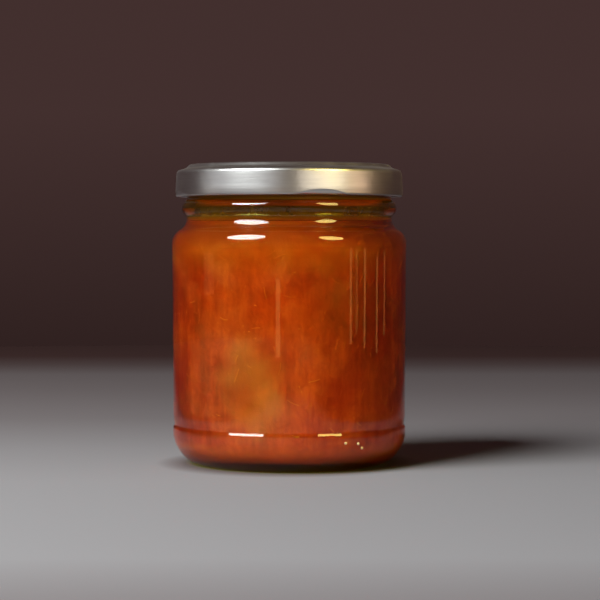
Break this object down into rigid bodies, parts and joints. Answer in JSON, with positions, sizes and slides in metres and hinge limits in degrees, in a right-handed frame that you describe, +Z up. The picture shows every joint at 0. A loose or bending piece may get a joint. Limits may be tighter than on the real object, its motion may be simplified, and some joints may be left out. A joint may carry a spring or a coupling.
{
  "type": "jar of apricot jam",
  "caption": "Round clear glass jar filled with pulpy apricot jam up to the foot of the neck, shut by a plain silver twist-off tinplate lid.",
  "frame": {"origin": "centre of the ring that the jar stands on, at the level of the surface", "axes": "+Z up along the jar's axis, front (the side shown) towards -Y, +X to the right seen from the front"},
  "size_m": [0.0716, 0.0716, 0.0913],
  "materials": {
    "clear_glass": "clear moulded soda-lime glass, faintly green where it is thick",
    "apricot_jam": null,
    "tinplate": "satin silver-lacquered tinplate",
    "sealing_compound": "matt off-white sealing compound"
  },
  "bodies": {
    "root": {"glass_jar": "clear_glass", "jam": "apricot_jam", "lid": "tinplate", "seal_ring": "sealing_compound"}
  },
  "joints": []
}
